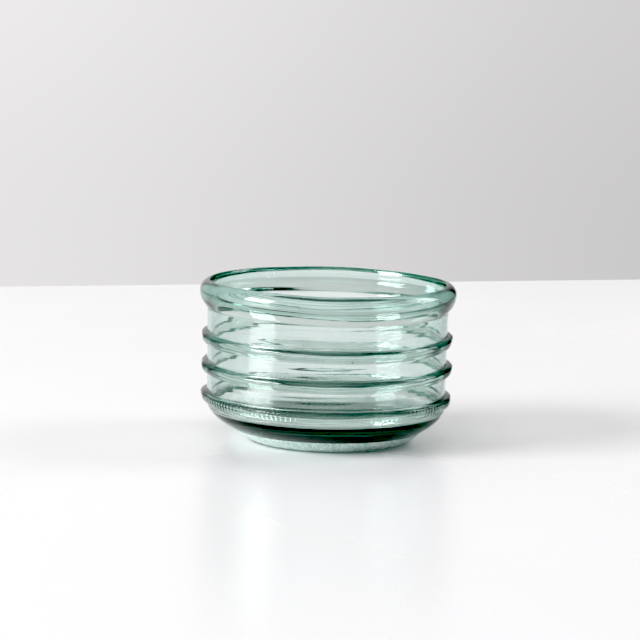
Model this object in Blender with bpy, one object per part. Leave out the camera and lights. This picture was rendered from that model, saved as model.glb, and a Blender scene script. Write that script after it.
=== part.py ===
"""Open, round, low jar of recycled glass with a rolled lip and three rings.

The glass is worked in stages, and each stage is a named solid here: the thick
base with its push-up, the ribbed foot ring that it stands on, the straight
wall, the three rings laid round the wall, and the lip rolled over at the
mouth. The origin is at the centre of the foot, on the surface the jar stands
on, and +Z runs up the axis. Lengths are in metres.
"""

import math

import bmesh
import bpy

MM = 0.001

# Driving dimensions
HEIGHT = 71.1 * MM
LIP_RADIUS = 57.0 * MM
WALL_RADIUS_TOP = 53.5 * MM
WALL_RADIUS_LOW = 53.2 * MM
BORE_RADIUS = 51.1 * MM
MOUTH_RADIUS = 51.8 * MM
FLOOR_LEVEL = 11.1 * MM
FLOOR_ROUND = 9.0 * MM

# Lip: a rolled bead, rounder above its widest level than below it
LIP_WIDEST_LEVEL = 65.9 * MM
LIP_CREST_RADIUS = 52.8 * MM
LIP_LOW_LEVEL = 58.8 * MM

# Rings: three alike, steeper above their widest level than below it
RING_NAMES = ("ring_lower", "ring_middle", "ring_upper")
RING_LEVELS = (20.1 * MM, 33.8 * MM, 46.6 * MM)
RING_RADIUS = 55.8 * MM
RING_RISE = 1.7 * MM
RING_DROP = 3.6 * MM

# Base: one arc for the heel, a shallow cone down to the foot, a push-up inside it
HEEL_TOP_LEVEL = 15.1 * MM
HEEL_ARC_RADIUS = 32.0 * MM
HEEL_EDGE_RADIUS = 42.8 * MM
HEEL_EDGE_LEVEL = 5.4 * MM
FOOT_OUTER_RADIUS = 35.0 * MM
FOOT_INNER_RADIUS = 24.5 * MM
FOOT_HEIGHT = 1.0 * MM
PUSH_UP_LEVEL = 5.0 * MM

# Ribs across the foot ring, which the jar stands on
RIB_COUNT = 80
RIB_DEPTH = 0.5 * MM

# Space kept between neighbouring solids, and the facets of turned ones
GAP = 0.3 * MM
TURN_STEPS = 64
SMOOTH_ANGLE = math.radians(35.0)

GLASS_COLOR = (0.63, 0.80, 0.72)
GLASS_ROUGHNESS = 0.05
GLASS_IOR = 1.5
GLASS_ALPHA = 0.35


def clear_scene():
    for item in list(bpy.data.objects):
        bpy.data.objects.remove(item, do_unlink=True)


def glass(name, shade):
    """Pale aqua glass; shade below 1 darkens it for a thicker piece."""
    material = bpy.data.materials.new(name + "_glass")
    material.use_nodes = True
    shader = material.node_tree.nodes["Principled BSDF"]
    shader.inputs["Base Color"].default_value = (*[c * shade for c in GLASS_COLOR], 1.0)
    shader.inputs["Metallic"].default_value = 0.0
    shader.inputs["Roughness"].default_value = GLASS_ROUGHNESS
    shader.inputs["IOR"].default_value = GLASS_IOR
    shader.inputs["Alpha"].default_value = GLASS_ALPHA
    return material


def quarter(start, end, steps, along_z_first):
    """Quarter ellipse from start to end, both (radius, level), end included.

    It leaves start upright where along_z_first is true, and level otherwise.
    """
    points = []
    for step in range(1, steps + 1):
        turn = 0.5 * math.pi * step / steps
        if along_z_first:
            across, along = 1.0 - math.cos(turn), math.sin(turn)
        else:
            across, along = math.sin(turn), 1.0 - math.cos(turn)
        radius = start[0] + (end[0] - start[0]) * across
        level = start[1] + (end[1] - start[1]) * along
        points.append((radius, level))
    return points


def wall_radius(level):
    """Outer radius of the wall, which tapers slightly from neck to heel."""
    share = (level - HEEL_TOP_LEVEL) / (LIP_LOW_LEVEL - HEEL_TOP_LEVEL)
    return WALL_RADIUS_LOW + (WALL_RADIUS_TOP - WALL_RADIUS_LOW) * share


def heel_arc(top, bottom, steps):
    """Points after top, down to bottom, on an arc of the heel's radius."""
    half_chord = 0.5 * math.dist(top, bottom)
    lean = math.atan2(top[1] - bottom[1], top[0] - bottom[0])
    offset = math.sqrt(HEEL_ARC_RADIUS ** 2 - half_chord ** 2)
    centre_radius = 0.5 * (top[0] + bottom[0]) - offset * math.sin(lean)
    centre_level = 0.5 * (top[1] + bottom[1]) + offset * math.cos(lean)
    first = math.atan2(top[1] - centre_level, top[0] - centre_radius)
    last = math.atan2(bottom[1] - centre_level, bottom[0] - centre_radius)
    points = []
    for step in range(1, steps + 1):
        angle = first + (last - first) * step / steps
        radius = centre_radius + HEEL_ARC_RADIUS * math.cos(angle)
        level = centre_level + HEEL_ARC_RADIUS * math.sin(angle)
        points.append((radius, level))
    return points


def add_object(name, mesh, shade, parent):
    item = bpy.data.objects.new(name, mesh)
    item.parent = parent
    mesh.materials.append(glass(name, shade))
    bpy.context.scene.collection.objects.link(item)
    return item


def turned(name, profile, closed, shade, parent):
    """Turn a profile about the axis.

    The profile is (radius, level) points that run down the outer side first.
    A closed one is a ring; an open one begins and ends on the axis.
    """
    edges = [(i, i + 1) for i in range(len(profile) - 1)]
    if closed:
        edges.append((len(profile) - 1, 0))
    mesh = bpy.data.meshes.new(name)
    mesh.from_pydata([(radius, 0.0, level) for radius, level in profile], edges, [])
    item = add_object(name, mesh, shade, parent)
    screw = item.modifiers.new("Turn", "SCREW")
    screw.axis = "Z"
    screw.angle = 2.0 * math.pi
    screw.steps = TURN_STEPS
    screw.render_steps = TURN_STEPS
    screw.use_merge_vertices = True
    screw.merge_threshold = 0.00005
    screw.use_smooth_shade = True
    return item


def make_base(parent):
    """Thick bottom: heel arc and cone outside, rounded floor inside, push-up below."""
    rim_level = HEEL_TOP_LEVEL - 0.5 * GAP
    seat_level = FOOT_HEIGHT + GAP
    heel_top = (wall_radius(rim_level), rim_level)
    heel_edge = (HEEL_EDGE_RADIUS, HEEL_EDGE_LEVEL)
    cone_end = (FOOT_OUTER_RADIUS + GAP, seat_level)
    foot_inside = (FOOT_INNER_RADIUS - GAP, seat_level)
    floor_edge = (BORE_RADIUS - FLOOR_ROUND, FLOOR_LEVEL)
    profile = [(0.0, FLOOR_LEVEL), floor_edge]
    profile += quarter(floor_edge, (BORE_RADIUS, rim_level), 5, False)
    profile.append(heel_top)
    profile += heel_arc(heel_top, heel_edge, 7)
    profile.append(cone_end)
    profile.append(foot_inside)
    profile += quarter(foot_inside, (0.0, PUSH_UP_LEVEL), 5, True)
    return turned("base", profile, False, 0.75, parent)


def make_foot_ring(parent):
    """Flat ring under the base, crossed by ribs that touch the table."""
    sector = math.pi / RIB_COUNT
    ring = bmesh.new()
    rows = []
    for radius, level in (
        (FOOT_INNER_RADIUS, FOOT_HEIGHT),
        (FOOT_OUTER_RADIUS, FOOT_HEIGHT),
        (FOOT_OUTER_RADIUS, RIB_DEPTH),
        (FOOT_INNER_RADIUS, RIB_DEPTH),
    ):
        row = []
        for index in range(2 * RIB_COUNT):
            angle = (index - 0.5) * sector
            spot = (radius * math.cos(angle), radius * math.sin(angle), level)
            row.append(ring.verts.new(spot))
        rows.append(row)
    undersides = []
    for corner in range(4):
        near, far = rows[corner], rows[(corner + 1) % 4]
        for index in range(2 * RIB_COUNT):
            after = (index + 1) % (2 * RIB_COUNT)
            face = ring.faces.new((near[index], far[index], far[after], near[after]))
            if corner == 2 and index % 2 == 0:
                undersides.append(face)
    ribs = bmesh.ops.extrude_discrete_faces(ring, faces=undersides)["faces"]
    for rib in ribs:
        bmesh.ops.translate(ring, verts=rib.verts, vec=(0.0, 0.0, -RIB_DEPTH))
    bmesh.ops.recalc_face_normals(ring, faces=ring.faces)
    mesh = bpy.data.meshes.new("foot_ring")
    ring.to_mesh(mesh)
    ring.free()
    mesh.shade_smooth()
    mesh.set_sharp_from_angle(angle=SMOOTH_ANGLE)
    return add_object("foot_ring", mesh, 0.85, parent)


def make_wall(parent):
    """Straight wall between the base and the lip."""
    top = LIP_LOW_LEVEL - GAP
    bottom = HEEL_TOP_LEVEL + 0.5 * GAP
    profile = [
        (BORE_RADIUS, top),
        (wall_radius(top), top),
        (wall_radius(bottom), bottom),
        (BORE_RADIUS, bottom),
    ]
    return turned("body_wall", profile, True, 1.0, parent)


def make_ring(name, level, parent):
    """Half-round ring on the wall, steep above and sloping off below."""
    top = level + RING_RISE
    bottom = level - RING_DROP
    inner_top = (wall_radius(top) + GAP, top)
    inner_bottom = (wall_radius(bottom) + GAP, bottom)
    crest = (RING_RADIUS, level)
    profile = [inner_top]
    profile += quarter(inner_top, crest, 4, False)
    profile += quarter(crest, inner_bottom, 5, True)
    return turned(name, profile, True, 0.95, parent)


def make_lip(parent):
    """Rolled bead round the mouth, fuller outside than inside."""
    crest = (LIP_CREST_RADIUS, HEIGHT)
    widest = (LIP_RADIUS, LIP_WIDEST_LEVEL)
    outer_low = (wall_radius(LIP_LOW_LEVEL), LIP_LOW_LEVEL)
    inner_low = (BORE_RADIUS, LIP_LOW_LEVEL)
    inner_high = (MOUTH_RADIUS, LIP_WIDEST_LEVEL)
    profile = [crest]
    profile += quarter(crest, widest, 6, False)
    profile += quarter(widest, outer_low, 5, True)
    profile.append(inner_low)
    profile.append(inner_high)
    profile += quarter(inner_high, crest, 6, True)[:-1]
    return turned("lip", profile, True, 0.9, parent)


def main():
    clear_scene()
    axis = bpy.data.objects.new("jar_axis", None)
    bpy.context.scene.collection.objects.link(axis)
    make_foot_ring(axis)
    make_base(axis)
    make_wall(axis)
    for name, level in zip(RING_NAMES, RING_LEVELS):
        make_ring(name, level, axis)
    make_lip(axis)


main()
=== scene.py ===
import math

import bmesh
import bpy
import numpy as np
from mathutils import Matrix, Vector

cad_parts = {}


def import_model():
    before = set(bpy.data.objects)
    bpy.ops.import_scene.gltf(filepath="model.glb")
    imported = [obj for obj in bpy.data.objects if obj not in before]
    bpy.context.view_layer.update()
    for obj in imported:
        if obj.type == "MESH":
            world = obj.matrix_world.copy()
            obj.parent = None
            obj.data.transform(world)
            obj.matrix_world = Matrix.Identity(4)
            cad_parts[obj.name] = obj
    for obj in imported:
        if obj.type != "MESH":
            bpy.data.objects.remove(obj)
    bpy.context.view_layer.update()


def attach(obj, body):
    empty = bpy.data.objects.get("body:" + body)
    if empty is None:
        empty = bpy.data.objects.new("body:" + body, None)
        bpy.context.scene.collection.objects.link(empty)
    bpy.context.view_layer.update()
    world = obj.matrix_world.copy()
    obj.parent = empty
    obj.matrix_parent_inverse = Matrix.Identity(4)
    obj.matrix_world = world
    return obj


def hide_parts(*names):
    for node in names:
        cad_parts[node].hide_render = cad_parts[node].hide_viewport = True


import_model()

MM = 0.001

# Nodes of the CAD that the one piece of glass stands for
RING_NODES = ("ring_upper", "ring_middle", "ring_lower")
GLASS_NODES = RING_NODES + ("base", "foot_ring", "body_wall", "lip")

# Profile of the glass, in millimetres
HEIGHT = 70.8
LIP_RADIUS = 57.0
BORE_RADIUS = 51.1
MOUTH_RADIUS = 51.8
MOUTH_LOW_LEVEL = 56.6
MOUTH_LEVEL = 65.9
NECK_RADIUS = 53.5
WALL_RADIUS_LOW = 53.2
LIP_LOW_LEVEL = 58.9
LIP_CREST_RADIUS = 52.8
LIP_WIDEST_LEVEL = 65.9
LIP_FULLNESS = 0.95
HEEL_TOP_LEVEL = 15.1
RING_LEVELS = (46.6, 33.8, 20.1)
RING_RADIUS = 55.8
RING_RISE = 1.7
RING_DROP = 3.6
FLOOR_LEVEL = 11.1
FLOOR_ROUND = 9.0
FLOOR_RISE = 4.0
HEEL = ((53.25, 15.1), (50.6, 11.1), (46.6, 7.7), (42.8, 5.4))
FOOT_BULGE = 0.3
FOOT_OUTER = 35.0
FOOT_INNER = 24.5
FOOT_HEIGHT = 0.2
PUSH_UP = 5.0
RECESS_BEND = 0.45
RIB_COUNT = 80
RIB_DEPTH = 0.2
RIB_TOP_LEVEL = 1.5
RIB_RUN_OUT = 1.0

# Points round the axis, along each part of the profile, and the wall's spacing in mm
TURN_STEPS = 640
FLOOR_STEPS = 40
FLOOR_ROUND_STEPS = 36
BORE_STEPS = 90
MOUTH_STEPS = 14
CREST_STEPS = 20
BEAD_STEPS = 28
RING_STEPS = 26
HEEL_STEPS = 32
CONE_STEPS = 20
BAND_STEPS = 18
FOOT_STEPS = 10
RECESS_STEPS = 24
WALL_STEP = 0.35

# Hand-made unevenness, in millimetres; waves are (count round the jar, share, phase)
RIM_WAVE = 0.22
RIM_WAVES = (
    (2, 0.7, 0.4), (3, 0.8, 2.2), (5, 0.45, 1.1), (9, 0.2, 0.3), (14, 0.12, 2.0))
OVALITY = 0.18
OVAL_WAVES = ((2, 0.7, 2.6), (3, 0.5, 0.7), (5, 0.25, 1.9))
FOLD_WANDER = 0.8
FOLD_WAVES = ((1, 0.8, 0.0), (3, 0.3, 1.0), (6, 0.12, 0.6))
FOLD_SPREAD = 2.0
RING_WANDER = 0.25
RING_TILT = (1.6, 2.2, 1.1)
RING_MIDDLE_DROP = 1.0
RING_SPREAD = 4.0
RING_PATCHINESS = 0.10
TOOL_RIPPLE = 0.02
OUTER_TOOL_TURNS = (2.9, 1.7)
INNER_RIPPLE = 0.022
INNER_TOOL_TURNS = (1.25, 2.1)
RIPPLE_LEAST = 0.1
FOOT_SHIFT = 1.6
FOOT_SHIFT_TOP = 16.0
LEAN_DEGREES = 0.22

# Level where a fault starts to fade in, and the height that takes; near the axis
# it fades in over a distance
RIM_FADE = (50.0, 18.0)
BODY_FADE = (6.0, 12.0)
LEAN_FADE = (15.0, 57.0)
AXIS_FADE = 20.0

# Air bubbles, in millimetres: count, then ranges of distance from the axis, level
# and size; those in the wall all lie at one distance
SEED_START = 11
SEED_FLATNESS = 0.8
SEED_GROUPS = (
    (26, (8.0, 38.0), (5.6, 10.2), (0.12, 0.38)),
    (16, (44.4, 45.2), (8.2, 9.2), (0.3, 0.5)),
    (34, None, (19.0, 57.0), (0.10, 0.26)),
)
WALL_SEED_RADIUS = 0.5 * (BORE_RADIUS + WALL_RADIUS_LOW) + 0.2

# Glass
GLASS_IOR = 1.5
ABSORB_COLOR = (0.071, 0.50, 0.386)
ABSORB_DENSITY = 70.0

# Surface detail, in millimetres where it is a length
TOOL_LINE_SCALE = (26.0, 26.0, 620.0)
TOOL_LINE_DEPTH = 0.015
NOTCH_COUNT = 152
NOTCH_DEPTH = 0.03
NOTCHES_START = (15.9, 17.6)
NOTCHES_END = (19.3, 20.9)
FOOT_EDGE = 0.9
FOOT_EDGE_FADE = 0.7
STIPPLE_SCALE = 900.0
STIPPLE_DEPTH = 0.25
FROST_SPAN = (0.35, 0.65)
FOOT_FROST = (0.3, 0.6)
NOISE_SPAN = (0.3, 0.7)

# Stippled band of the foot: an opaque skin whose pale tone is partly the frosted
# stipple and partly painted light, a painted reflection of the bright table at grazing
# angles and of light scattered through the glass
BAND_PROUD = 0.06
BAND_SEAT = 0.04
BAND_DEPTH = 0.10
BAND_PIT_SCALE = 750.0
BAND_PIT_DEPTH = 0.2
BAND_CLOUD_SCALE = 160.0
BAND_SPECK_SPAN = (0.15, 0.6)
BAND_PATCH_SPAN = (0.3, 0.62)
BAND_PATCH_LEAST = 0.35
BAND_ROUGHNESS = (0.25, 0.5)
# pale tone: frosted stipple plus painted reflection of the table and painted light
# scattered through the glass
BAND_FROST_AND_PAINTED_LIGHT = (0.86, 0.94, 0.91, 1.0)
BAND_DEEP = (0.50, 0.68, 0.62, 1.0)

# Table, in metres; its far edge is skewed
TABLE_HALF_WIDTH = 0.9
TABLE_FRONT = -1.4
TABLE_LEVEL = -0.0002
TABLE_EDGE = 0.55
TABLE_SKEW = 0.25
TABLE_SHEEN = 0.21
TABLE_SHEEN_SPREAD = 0.08
TABLE_GRAIN_SCALE = 900.0
TABLE_GRAIN_DEPTH = 0.02
TABLE_CLOUD_SCALE = 3.0
TABLE_DARK = (0.90, 0.895, 0.91, 1.0)
TABLE_LIGHT = (0.93, 0.925, 0.94, 1.0)

# Room: shares of the light by direction, each with the span of the change
ROOM_COLOR = (1.0, 0.985, 0.985, 1.0)
WALL_LEFT = 0.82
WALL_RIGHT = 0.62
WALL_SPAN = (-0.16, 0.16)
SIDE_SHARE = 0.2
SIDE_SPAN = (0.13, 0.42)
LEFT_SHARE = 0.6
LEFT_SPAN = (-0.2, -0.6)
BEHIND_SHARE = 0.95
BEHIND_SPAN = (-0.45, 0.25)
RISE_SHARE = 1.07
RISE_SPAN = (-0.11, -0.01)

# Lamps: azimuth and elevation in degrees, distance, width and height in metres
WINDOW = (66.0, 22.0, 6.0, 2.85, 3.2)
WINDOW_WATTS = 392.0
FILL = (20.0, 45.0, 5.0, 4.0, 3.0)
FILL_WATTS = 45.0
RIGHT_LAMP = (-105.0, 30.0, 1.6, 0.7, 0.8)
RIGHT_LAMP_WATTS = 9.0
LAMP_AIM_LEVEL = 0.04

# Camera, in metres, degrees and (for the lens) millimetres
CAMERA_ELEVATION = 8.8
CAMERA_ROLL = 1.36
CAMERA_DISTANCE = 1.30
CAMERA_MIDDLE_LEVEL = 0.0351
CAMERA_AIM_OFFSET = (-3.3 * MM, 0.0, 18.2 * MM)
LENS = 163.9
SENSOR_WIDTH = 36.0
BLACK_LEVEL = 0.09
MOST_BOUNCES = 32
GLOSSY_BOUNCES = 16


def smooth(x):
    x = np.clip(x, 0.0, 1.0)
    return x * x * (3.0 - 2.0 * x)


def fade_in(z, start, height):
    return smooth((z - start) / height)


def quarter_turn(steps):
    """Angles from 0 to a right angle, the first left out."""
    return np.linspace(0.0, 0.5 * math.pi, steps)[1:]


def full_turn():
    """Angles once round the axis, as a row."""
    return np.linspace(0.0, 2.0 * math.pi, TURN_STEPS, endpoint=False)[None, :]


def curve(points, steps):
    """Centripetal Catmull-Rom curve through (radius, level) points."""
    p = np.array(points, float)
    p = np.concatenate([[2.0 * p[0] - p[1]], p, [2.0 * p[-1] - p[-2]]])
    gaps = np.sqrt(np.linalg.norm(np.diff(p, axis=0), axis=1))
    knot = np.concatenate([[0.0], np.cumsum(gaps)])
    t = np.linspace(knot[1], knot[-2], steps)
    i = np.clip(np.searchsorted(knot, t, side="right") - 1, 1, len(p) - 3)

    def mix(start, end, first, last):
        a = (knot[end] - t) / (knot[end] - knot[start])
        return a[:, None] * first + (1.0 - a)[:, None] * last

    a1 = mix(i - 1, i, p[i - 1], p[i])
    a2 = mix(i, i + 1, p[i], p[i + 1])
    a3 = mix(i + 1, i + 2, p[i + 1], p[i + 2])
    return mix(i, i + 1, mix(i - 1, i + 1, a1, a2), mix(i, i + 2, a2, a3))


def wall_radius(level):
    """Outer radius of the wall, which tapers slightly from neck to heel."""
    share = (level - HEEL_TOP_LEVEL) / (LIP_LOW_LEVEL - HEEL_TOP_LEVEL)
    return WALL_RADIUS_LOW + (NECK_RADIUS - WALL_RADIUS_LOW) * share


def wall_points(start, end):
    """Straight wall between two levels, its ends left out."""
    steps = max(4, int(abs(end - start) / WALL_STEP))
    z = np.linspace(start, end, steps)[1:-1]
    return np.stack([wall_radius(z), z], 1)


def ring_points(level):
    """Outline of one ring, from its upper crease round to its lower one."""
    turn = np.linspace(0.0, math.pi, RING_STEPS)
    reach = np.where(turn < 0.5 * math.pi, RING_RISE, RING_DROP)
    z = level + reach * np.cos(turn)
    r = wall_radius(z) + (RING_RADIUS - wall_radius(level)) * np.sin(turn)
    return np.stack([r, z], 1)


def cone_points(t):
    """Slightly sagging line from the heel's edge to the foot; t is a column."""
    start = np.array(HEEL[-1])
    end = np.array((FOOT_OUTER, FOOT_HEIGHT))
    sag = np.array((0.0, 4.0 * FOOT_BULGE))
    return start + (end - start) * t - sag * t * (1.0 - t)


def inner_profile():
    """From the middle of the inside floor up the bore to the crest of the lip."""
    r = np.linspace(0.0, BORE_RADIUS - FLOOR_ROUND, FLOOR_STEPS)
    parts = [np.stack([r, np.full_like(r, FLOOR_LEVEL)], 1)]
    a = quarter_turn(FLOOR_ROUND_STEPS)
    r = BORE_RADIUS - FLOOR_ROUND + FLOOR_ROUND * np.sin(a)
    z = FLOOR_LEVEL + FLOOR_RISE * (1.0 - np.cos(a))
    parts.append(np.stack([r, z], 1))
    z = np.linspace(FLOOR_LEVEL + FLOOR_RISE, MOUTH_LOW_LEVEL, BORE_STEPS)[1:]
    parts.append(np.stack([np.full_like(z, BORE_RADIUS), z], 1))
    z = np.linspace(MOUTH_LOW_LEVEL, MOUTH_LEVEL, MOUTH_STEPS)[1:]
    share = fade_in(z, MOUTH_LOW_LEVEL, MOUTH_LEVEL - MOUTH_LOW_LEVEL)
    r = BORE_RADIUS + (MOUTH_RADIUS - BORE_RADIUS) * share
    parts.append(np.stack([r, z], 1))
    a = quarter_turn(CREST_STEPS)
    r = MOUTH_RADIUS + (LIP_CREST_RADIUS - MOUTH_RADIUS) * (1.0 - np.cos(a))
    z = MOUTH_LEVEL + (HEIGHT - MOUTH_LEVEL) * np.sin(a)
    parts.append(np.stack([r, z], 1))
    return np.concatenate(parts)


def outer_profile():
    """From the crest of the lip down rings and heel to the middle of the underside."""
    a = quarter_turn(CREST_STEPS)
    r = LIP_CREST_RADIUS + (LIP_RADIUS - LIP_CREST_RADIUS) * np.sin(a)
    z = LIP_WIDEST_LEVEL + (HEIGHT - LIP_WIDEST_LEVEL) * np.cos(a)
    parts = [np.stack([r, z], 1)]
    u = np.sin(quarter_turn(BEAD_STEPS))
    z = LIP_WIDEST_LEVEL + (LIP_LOW_LEVEL - LIP_WIDEST_LEVEL) * u
    swell = np.maximum(1.0 - u ** 2, 0.0) ** LIP_FULLNESS
    r = wall_radius(z) + (LIP_RADIUS - wall_radius(z)) * swell
    parts.append(np.stack([r, z], 1))
    edge = LIP_LOW_LEVEL
    for level in RING_LEVELS:
        parts.append(wall_points(edge, level + RING_RISE))
        parts.append(ring_points(level))
        edge = level - RING_DROP
    parts.append(curve(HEEL, HEEL_STEPS)[1:])
    parts.append(cone_points(np.linspace(0.0, 1.0, CONE_STEPS)[1:, None]))
    r = np.linspace(FOOT_OUTER, FOOT_INNER, FOOT_STEPS)[1:]
    parts.append(np.stack([r, np.full_like(r, FOOT_HEIGHT)], 1))
    a = quarter_turn(RECESS_STEPS)
    r = FOOT_INNER * np.cos(a) ** RECESS_BEND
    z = FOOT_HEIGHT + (PUSH_UP - FOOT_HEIGHT) * np.sin(a)
    parts.append(np.stack([r, z], 1))
    return np.concatenate(parts)


def wave(p, table):
    return sum(amount * np.sin(count * p + phase) for count, amount, phase in table)


def uneven(r, z, p, outer):
    """Small faults of hand-blown glass: changes of radius and level at each point."""
    high = fade_in(z, *RIM_FADE)
    body = fade_in(z, *BODY_FADE)
    dz = RIM_WAVE * high * wave(p, RIM_WAVES)
    dr = OVALITY * body * wave(p, OVAL_WAVES)
    for turn, level in enumerate(RING_LEVELS):
        near = np.exp(-((z - level + RING_MIDDLE_DROP) / RING_SPREAD) ** 2)
        dz = dz + RING_TILT[turn] * np.sin(p) * near * outer
        wander = ((1, 0.5, 2.1 * turn), (3, 0.5, 1.3 + turn), (7, 0.2, 2.0 * turn))
        dz = dz + RING_WANDER * near * wave(p, wander)
        proud = np.maximum(r - wall_radius(z), 0.0) * outer * near
        patches = ((4, 0.6, 1.0 + turn), (11, 0.6, 2.5 * turn), (23, 0.5, 0.4))
        dr = dr + RING_PATCHINESS * proud * wave(p, patches)
    fold = np.exp(-((z - LIP_LOW_LEVEL) / FOLD_SPREAD) ** 2) * outer
    dz = dz + FOLD_WANDER * fold * wave(p, FOLD_WAVES)
    broadside = RIPPLE_LEAST + (1.0 - RIPPLE_LEAST) * np.sin(p) ** 4
    if outer:
        first, second = OUTER_TOOL_TURNS
        tool = np.sin(first * z + 0.5 * np.sin(2.0 * p))
        tool = tool + 0.7 * np.sin(second * z + np.sin(3.0 * p + 1.0))
        patchy = 0.6 + 0.4 * np.sin(2.0 * p + 0.05 * z)
        dr = dr + TOOL_RIPPLE * broadside * body * tool * patchy
    else:
        first, second = INNER_TOOL_TURNS
        tool = np.sin(first * z + 0.6 * np.sin(p + 2.0))
        tool = tool + 0.8 * np.sin(second * z + np.sin(2.0 * p))
        patchy = 0.6 + 0.4 * np.sin(3.0 * p + 1.0)
        dr = dr + INNER_RIPPLE * broadside * body * tool * patchy
    slope = math.tan(math.radians(LEAN_DEGREES))
    dz = dz - slope * r * np.cos(p) * fade_in(z, *LEAN_FADE)
    return dr, dz


def foot_shift(z):
    """The foot sits a little off the axis; the shift fades out up the heel."""
    return FOOT_SHIFT * np.clip(1.0 - z / FOOT_SHIFT_TOP, 0.0, 1.0)


def turned(points, outer):
    """Rows of points round the axis for one side of the glass, in millimetres."""
    p = full_turn()
    r0 = points[:, 0][:, None]
    z0 = points[:, 1][:, None]
    dr, dz = uneven(r0, z0, p, outer)
    r = r0 + dr * smooth(r0 / AXIS_FADE)
    z = z0 + dz
    shift = np.zeros_like(z0)
    if outer:
        shift = foot_shift(z0)
        middle = 0.5 * (FOOT_OUTER + FOOT_INNER)
        half_width = 0.5 * (FOOT_OUTER - FOOT_INNER) + RIB_RUN_OUT
        foot = smooth(1.0 - np.abs(r0 - middle) / half_width) * (z0 < RIB_TOP_LEVEL)
        z = z - RIB_DEPTH * foot * 0.5 * (1.0 - np.cos(RIB_COUNT * p))
    x = r * np.cos(p) + shift
    y = r * np.sin(p)
    return np.stack([x, y, np.maximum(z, 0.0)], 2)


def seeds():
    """Small air bubbles left in the glass: (x, y, z, radius) in millimetres."""
    rng = np.random.default_rng(SEED_START)
    spots = []
    for count, distances, levels, sizes in SEED_GROUPS:
        for _ in range(count):
            a = rng.uniform(0.0, 2.0 * math.pi)
            r = rng.uniform(*distances) if distances else WALL_SEED_RADIUS
            z = rng.uniform(*levels)
            size = rng.uniform(*sizes)
            spots.append((r * math.cos(a), r * math.sin(a), z, size))
    return spots


def ball_shape():
    """Points and outward triangles of a unit ball."""
    mesh = bpy.data.meshes.new("ball")
    ball = bmesh.new()
    bmesh.ops.create_icosphere(ball, subdivisions=2, radius=1.0)
    ball.to_mesh(mesh)
    ball.free()
    points = np.array([v.co[:] for v in mesh.vertices])
    faces = np.array([f.vertices[:] for f in mesh.polygons])
    bpy.data.meshes.remove(mesh)
    return points, faces


def row_quads(low, high):
    """Quads between pairs of rows, each row given by its number."""
    steps = np.arange(TURN_STEPS)
    following = (steps + 1) % TURN_STEPS
    low = low[:, None] * TURN_STEPS
    high = high[:, None] * TURN_STEPS
    quads = [low + steps, high + steps, high + following, low + following]
    return np.stack(quads, 2).reshape(-1, 4)


def mesh_of(name, verts, quads, tris):
    """Smooth mesh from arrays of points in metres, quads and triangles."""
    loops = np.concatenate([quads.reshape(-1), tris.reshape(-1)]).astype(np.int32)
    quad_starts = np.arange(len(quads)) * 4
    tri_starts = len(quads) * 4 + np.arange(len(tris)) * 3
    starts = np.concatenate([quad_starts, tri_starts]).astype(np.int32)
    mesh = bpy.data.meshes.new(name)
    mesh.vertices.add(len(verts))
    mesh.vertices.foreach_set("co", verts.astype(np.float32).ravel())
    mesh.loops.add(len(loops))
    mesh.loops.foreach_set("vertex_index", loops)
    mesh.polygons.add(len(starts))
    mesh.polygons.foreach_set("loop_start", starts)
    mesh.update(calc_edges=True)
    mesh.shade_smooth()
    return mesh


def glass_mesh():
    """The whole jar as one closed skin, with the bubbles as inward-facing balls."""
    inner = turned(inner_profile()[1:], False)
    outer = turned(outer_profile()[:-1], True)
    grid = np.concatenate([inner, outer])
    rows = len(grid)
    quads = row_quads(np.arange(rows - 1), np.arange(1, rows))
    steps = np.arange(TURN_STEPS)
    following = (steps + 1) % TURN_STEPS
    top = rows * TURN_STEPS
    last = top - TURN_STEPS
    tri_sets = [
        np.stack([np.full_like(steps, top), steps, following], 1),
        np.stack([np.full_like(steps, top + 1), last + following, last + steps], 1)]
    centres = [[0.0, 0.0, FLOOR_LEVEL], [FOOT_SHIFT, 0.0, PUSH_UP]]
    point_sets = [grid.reshape(-1, 3), np.array(centres)]
    count = top + len(centres)
    points, faces = ball_shape()
    for x, y, z, size in seeds():
        scale = np.array([size, size, SEED_FLATNESS * size])
        point_sets.append(points * scale + np.array([x, y, z]))
        tri_sets.append(faces[:, ::-1] + count)
        count += len(points)
    verts = np.concatenate(point_sets) * MM
    return mesh_of("jar_glass", verts, quads, np.concatenate(tri_sets))


def foot_band_mesh():
    """Skin of the stippled cone between heel and foot, and its turned-in ends."""
    t = np.linspace(0.0, 1.0, BAND_STEPS)[:, None]
    cone = cone_points(t)
    along = np.array((FOOT_OUTER, FOOT_HEIGHT)) - np.array(HEEL[-1])
    along = along / np.linalg.norm(along)
    out = np.array((-along[1], along[0]))
    depth = BAND_DEPTH * np.sin(np.pi * t) ** 0.5
    outer = cone + out * BAND_PROUD * np.minimum(1.0, 12.0 * t * (1.0 - t)) ** 0.5
    inner = cone[::-1] - out * (BAND_SEAT + depth[::-1])
    points = np.concatenate([outer, inner])
    p = full_turn()
    r = points[:, 0][:, None]
    z = points[:, 1][:, None] * np.ones_like(p)
    verts = np.stack([r * np.cos(p) + foot_shift(z), r * np.sin(p), z], 2)
    rows = np.arange(len(points))
    quads = row_quads(rows, (rows + 1) % len(points))
    no_tris = np.zeros((0, 3), int)
    return mesh_of("foot_band", verts.reshape(-1, 3) * MM, quads, no_tris)


def new_material(name):
    material = bpy.data.materials.new(name)
    material.use_nodes = True
    return material, material.node_tree.nodes, material.node_tree.links


def texture(nodes, links, kind, vector, **values):
    """Texture node of the given kind, looked up at vector."""
    item = nodes.new(kind)
    for name, value in values.items():
        item.inputs[name].default_value = value
    links.new(vector, item.inputs["Vector"])
    return item.outputs


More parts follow.
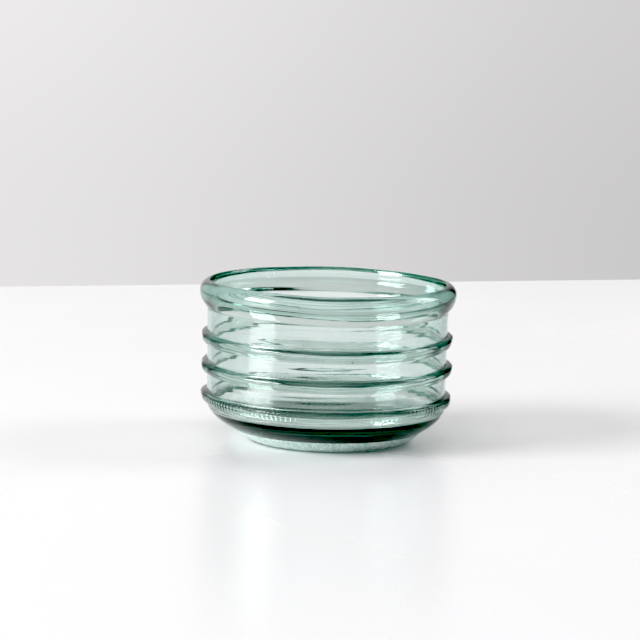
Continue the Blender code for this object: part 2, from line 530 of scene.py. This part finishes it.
def combine(nodes, links, operation, first, second):
    """Math node on two sockets or numbers."""
    item = nodes.new("ShaderNodeMath")
    item.operation = operation
    for slot, value in enumerate((first, second)):
        if isinstance(value, (int, float)):
            item.inputs[slot].default_value = value
        else:
            links.new(value, item.inputs[slot])
    return item.outputs["Value"]


def blend_range(nodes, links, source, span, first, last):
    """Smooth change from first to last while the source goes over the span."""
    item = nodes.new("ShaderNodeMapRange")
    item.interpolation_type = "SMOOTHSTEP"
    item.inputs["From Min"].default_value = span[0]
    item.inputs["From Max"].default_value = span[1]
    item.inputs["To Min"].default_value = first
    item.inputs["To Max"].default_value = last
    links.new(source, item.inputs["Value"])
    return item.outputs["Result"]


def blend_colors(nodes, links, share, first, last):
    item = nodes.new("ShaderNodeMix")
    item.data_type = "RGBA"
    item.inputs["A"].default_value = first
    item.inputs["B"].default_value = last
    links.new(share, item.inputs["Factor"])
    return item.outputs["Result"]


def bump(nodes, links, height, distance, before=None):
    item = nodes.new("ShaderNodeBump")
    item.inputs["Strength"].default_value = 1.0
    item.inputs["Distance"].default_value = distance
    links.new(height, item.inputs["Height"])
    if before is not None:
        links.new(before, item.inputs["Normal"])
    return item.outputs["Normal"]


def split_vector(nodes, links, vector):
    item = nodes.new("ShaderNodeSeparateXYZ")
    links.new(vector, item.inputs["Vector"])
    return item.outputs


def notch_wave(nodes, links, axes):
    """Sine that runs once for each notch round the axis."""
    turn = combine(nodes, links, "ARCTAN2", axes["Y"], axes["X"])
    turn = combine(nodes, links, "MULTIPLY", turn, float(NOTCH_COUNT))
    return combine(nodes, links, "SINE", turn, 0.0)


def glass_material():
    """Aqua glass: tool lines on the wall, notches on the lowest ring, stippled foot."""
    material, nodes, links = new_material("jar_glass")
    shader = nodes["Principled BSDF"]
    shader.inputs["Base Color"].default_value = (1.0, 1.0, 1.0, 1.0)
    shader.inputs["IOR"].default_value = GLASS_IOR
    shader.inputs["Transmission Weight"].default_value = 1.0
    coords = nodes.new("ShaderNodeTexCoord").outputs["Object"]
    axes = split_vector(nodes, links, coords)
    level = axes["Z"]

    stretch = texture(nodes, links, "ShaderNodeMapping", coords, Scale=TOOL_LINE_SCALE)
    lines = texture(nodes, links, "ShaderNodeTexNoise", stretch["Vector"],
                    Scale=1.0, Detail=3.0, Roughness=0.55)["Fac"]
    grain = texture(nodes, links, "ShaderNodeTexNoise", coords,
                    Scale=STIPPLE_SCALE, Detail=2.0, Roughness=0.6)["Fac"]
    foot_span = (FOOT_EDGE * MM, (FOOT_EDGE - FOOT_EDGE_FADE) * MM)
    foot = blend_range(nodes, links, level, foot_span, 0.0, 1.0)
    start = [z * MM for z in NOTCHES_START]
    end = [z * MM for z in NOTCHES_END]
    ring_low = blend_range(nodes, links, level, start, 0.0, 1.0)
    ring_high = blend_range(nodes, links, level, end, 1.0, 0.0)
    on_ring = combine(nodes, links, "MULTIPLY", ring_low, ring_high)
    notched = combine(nodes, links, "MAXIMUM", on_ring, foot)
    notch = notch_wave(nodes, links, axes)
    notches = combine(nodes, links, "MULTIPLY", notch, notched)
    stipple = combine(nodes, links, "MULTIPLY", grain, foot)

    normal = bump(nodes, links, lines, TOOL_LINE_DEPTH * MM)
    normal = bump(nodes, links, notches, NOTCH_DEPTH * MM, normal)
    normal = bump(nodes, links, stipple, STIPPLE_DEPTH * MM, normal)
    links.new(normal, shader.inputs["Normal"])
    frost = blend_range(nodes, links, grain, FROST_SPAN, *FOOT_FROST)
    frost = combine(nodes, links, "MULTIPLY", frost, foot)
    links.new(frost, shader.inputs["Roughness"])
    absorb = nodes.new("ShaderNodeVolumeAbsorption")
    absorb.inputs["Color"].default_value = (*ABSORB_COLOR, 1.0)
    absorb.inputs["Density"].default_value = ABSORB_DENSITY
    links.new(absorb.outputs["Volume"], nodes["Material Output"].inputs["Volume"])
    return material


def band_material():
    """Pale stippled glass: a frosted skin broken by fine pits and short notches; its
    pale tone is partly the frost and partly painted light, a painted reflection of the
    bright table and of light scattered through the glass.
    """
    material, nodes, links = new_material("foot_band")
    shader = nodes["Principled BSDF"]
    coords = nodes.new("ShaderNodeTexCoord").outputs["Object"]
    axes = split_vector(nodes, links, coords)
    pits = texture(nodes, links, "ShaderNodeTexVoronoi", coords,
                   Scale=BAND_PIT_SCALE)["Distance"]
    cloud = texture(nodes, links, "ShaderNodeTexNoise", coords,
                    Scale=BAND_CLOUD_SCALE, Detail=3.0)["Fac"]
    speck = blend_range(nodes, links, pits, BAND_SPECK_SPAN, 0.0, 1.0)
    patch = blend_range(nodes, links, cloud, BAND_PATCH_SPAN, BAND_PATCH_LEAST, 1.0)
    share = combine(nodes, links, "MULTIPLY", speck, patch)
    # the pale end of this tone is painted reflection and painted scattered light,
    # besides the frosted stipple
    tone = blend_colors(nodes, links, share, BAND_FROST_AND_PAINTED_LIGHT, BAND_DEEP)
    links.new(tone, shader.inputs["Base Color"])
    rough = blend_range(nodes, links, cloud, NOISE_SPAN, *BAND_ROUGHNESS)
    links.new(rough, shader.inputs["Roughness"])
    normal = bump(nodes, links, pits, BAND_PIT_DEPTH * MM)
    notch = notch_wave(nodes, links, axes)
    normal = bump(nodes, links, notch, NOTCH_DEPTH * MM, normal)
    links.new(normal, shader.inputs["Normal"])
    return material


def table_material():
    """Pale, faintly cloudy table top with a soft sheen."""
    material, nodes, links = new_material("table")
    shader = nodes["Principled BSDF"]
    coords = nodes.new("ShaderNodeTexCoord").outputs["Object"]
    fine = texture(nodes, links, "ShaderNodeTexNoise", coords,
                   Scale=TABLE_GRAIN_SCALE, Detail=3.0)["Fac"]
    broad = texture(nodes, links, "ShaderNodeTexNoise", coords,
                    Scale=TABLE_CLOUD_SCALE, Detail=2.0)["Fac"]
    tone = blend_colors(nodes, links, broad, TABLE_DARK, TABLE_LIGHT)
    links.new(tone, shader.inputs["Base Color"])
    rough = blend_range(nodes, links, broad, NOISE_SPAN,
                        TABLE_SHEEN, TABLE_SHEEN + TABLE_SHEEN_SPREAD)
    links.new(rough, shader.inputs["Roughness"])
    links.new(bump(nodes, links, fine, TABLE_GRAIN_DEPTH * MM), shader.inputs["Normal"])
    return material


def link_object(name, data):
    item = bpy.data.objects.new(name, data)
    bpy.context.scene.collection.objects.link(item)
    return item


def floor():
    mesh = bpy.data.meshes.new("table")
    corners = [
        (-TABLE_HALF_WIDTH, TABLE_FRONT, TABLE_LEVEL),
        (TABLE_HALF_WIDTH, TABLE_FRONT, TABLE_LEVEL),
        (TABLE_HALF_WIDTH, TABLE_EDGE + TABLE_SKEW, TABLE_LEVEL),
        (-TABLE_HALF_WIDTH, TABLE_EDGE - TABLE_SKEW, TABLE_LEVEL)]
    mesh.from_pydata(corners, [], [(0, 1, 2, 3)])
    mesh.materials.append(table_material())
    item = link_object("table", mesh)


def world():
    """Room light by direction: a pale wall ahead, fading to the right; dimmer sides."""
    data = bpy.data.worlds.new("room")
    bpy.context.scene.world = data
    data.use_nodes = True
    nodes = data.node_tree.nodes
    links = data.node_tree.links
    back = nodes["Background"]
    coords = nodes.new("ShaderNodeTexCoord").outputs["Generated"]
    axes = split_vector(nodes, links, coords)
    level = blend_range(nodes, links, axes["X"], WALL_SPAN, WALL_LEFT, WALL_RIGHT)
    for axis, span, first, last in (
        ("X", SIDE_SPAN, 1.0, SIDE_SHARE),
        ("Z", RISE_SPAN, 1.0, RISE_SHARE),
        ("X", LEFT_SPAN, 1.0, LEFT_SHARE),
        ("Y", BEHIND_SPAN, BEHIND_SHARE, 1.0),
    ):
        share = blend_range(nodes, links, axes[axis], span, first, last)
        level = combine(nodes, links, "MULTIPLY", level, share)
    back.inputs["Color"].default_value = ROOM_COLOR
    links.new(level, back.inputs["Strength"])


def area_light(name, azimuth, elevation, distance, width, height, watts):
    """White lamp facing the jar; azimuth turns from the camera's side to its left."""
    a = math.radians(azimuth)
    e = math.radians(elevation)
    direction = Vector((
        -math.sin(a) * math.cos(e), -math.cos(a) * math.cos(e), math.sin(e)))
    data = bpy.data.lights.new(name, "AREA")
    data.shape = "RECTANGLE"
    data.size = width
    data.size_y = height
    data.energy = watts
    item = link_object(name, data)
    place = Vector((0.0, 0.0, LAMP_AIM_LEVEL)) + distance * direction
    turn = direction.to_track_quat("Z", "Y").to_matrix().to_4x4()
    item.matrix_world = Matrix.Translation(place) @ turn


def camera():
    """Camera at the photo's height and distance, with its slight roll."""
    elevation = math.radians(CAMERA_ELEVATION)
    middle = Vector((0.0, 0.0, CAMERA_MIDDLE_LEVEL))
    direction = Vector((0.0, -math.cos(elevation), math.sin(elevation)))
    eye = middle + CAMERA_DISTANCE * direction
    aim = middle + Vector(CAMERA_AIM_OFFSET)
    data = bpy.data.cameras.new("camera")
    data.lens = LENS
    data.sensor_width = SENSOR_WIDTH
    data.clip_start = 0.01
    item = link_object("camera", data)
    turn = (aim - eye).to_track_quat("-Z", "Y").to_matrix().to_4x4()
    roll = Matrix.Rotation(math.radians(CAMERA_ROLL), 4, "Z")
    item.matrix_world = Matrix.Translation(eye) @ turn @ roll
    bpy.context.scene.camera = item


def render_settings():
    """The view's black level follows the photo, whose darks are cut to black."""
    scene = bpy.context.scene
    view = scene.view_settings
    view.view_transform = "Standard"
    view.use_curve_mapping = True
    view.curve_mapping.black_level = (BLACK_LEVEL, BLACK_LEVEL, BLACK_LEVEL)
    scene.cycles.max_bounces = MOST_BOUNCES
    scene.cycles.transmission_bounces = MOST_BOUNCES
    scene.cycles.glossy_bounces = GLOSSY_BOUNCES


def main():
    render_settings()
    camera()
    floor()
    world()
    area_light("window", *WINDOW, WINDOW_WATTS)
    area_light("fill", *FILL, FILL_WATTS)
    area_light("right_lamp", *RIGHT_LAMP, RIGHT_LAMP_WATTS)
    mesh = glass_mesh()
    mesh.materials.append(glass_material())
    jar = link_object("jar_glass", mesh)
    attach(jar, "root")
    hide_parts(*GLASS_NODES)
    band_mesh = foot_band_mesh()
    band_mesh.materials.append(band_material())
    band = link_object("foot_band", band_mesh)
    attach(band, "root")


main()
